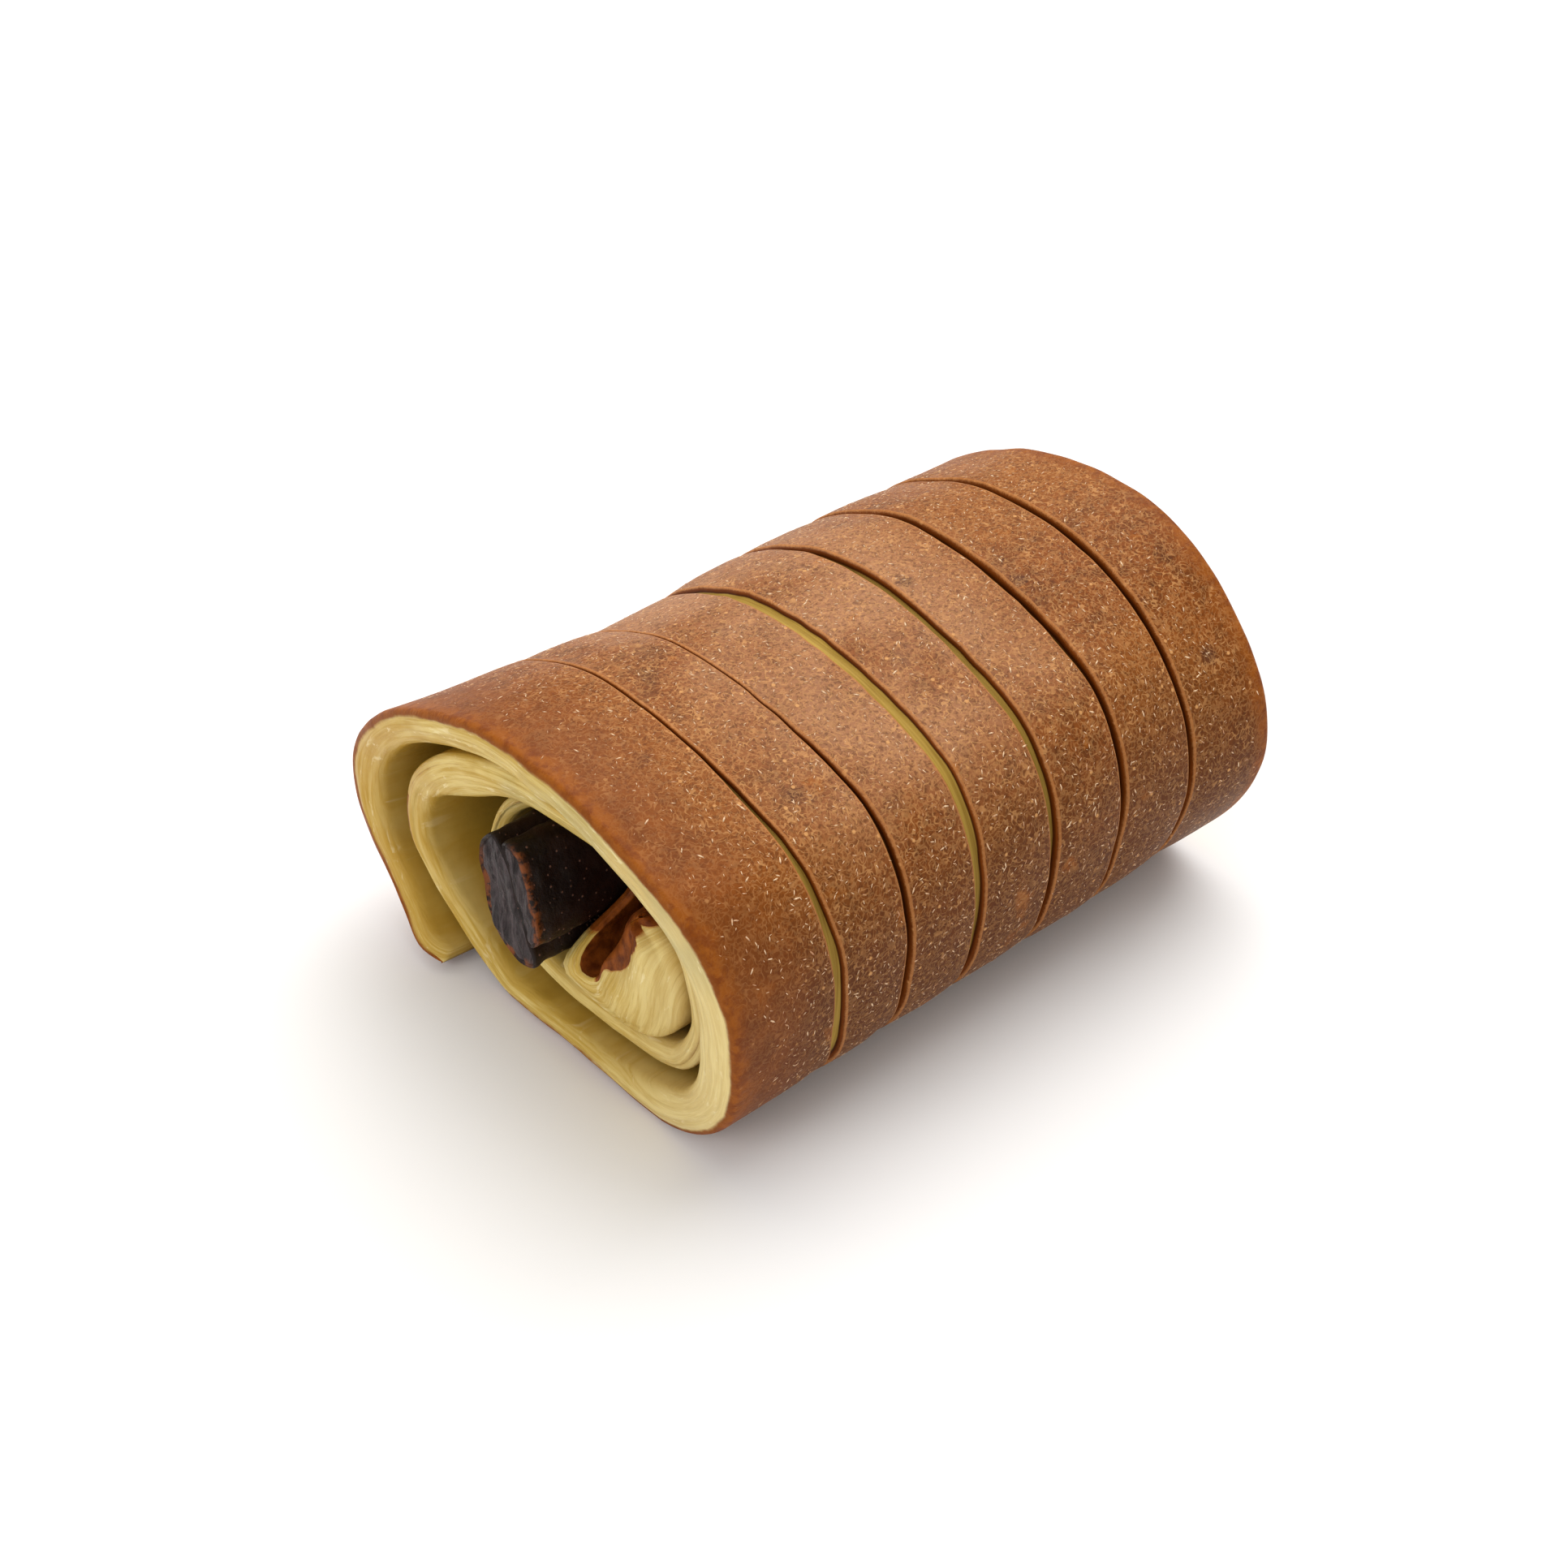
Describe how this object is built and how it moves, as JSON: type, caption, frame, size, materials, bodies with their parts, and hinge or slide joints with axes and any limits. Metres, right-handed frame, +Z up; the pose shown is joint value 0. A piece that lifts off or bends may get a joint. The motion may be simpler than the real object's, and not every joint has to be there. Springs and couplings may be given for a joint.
{
  "type": "pain au chocolat",
  "caption": "Baked roll of laminated dough coiled round chocolate sticks, scored across the top, with open spiral ends and a flat base.",
  "frame": {"origin": "centre of the bounding box in X and Y, on the flat base in Z", "axes": "X runs along the roll, with -X the end where the chocolate stands proud; +Y is the side the loose flap hangs on; Z is up"},
  "size_m": [0.1114, 0.0862, 0.0555],
  "materials": {
    "pastry": "golden to mid brown baked crust, semi-matt, pale cream crumb at the cut ends",
    "chocolate": "dark chocolate, semi-matt, broken at the ends"
  },
  "bodies": {
    "root": {"dough_roll": "pastry", "chocolate_stick_wide": "chocolate", "chocolate_stick_narrow": "chocolate"}
  },
  "joints": []
}
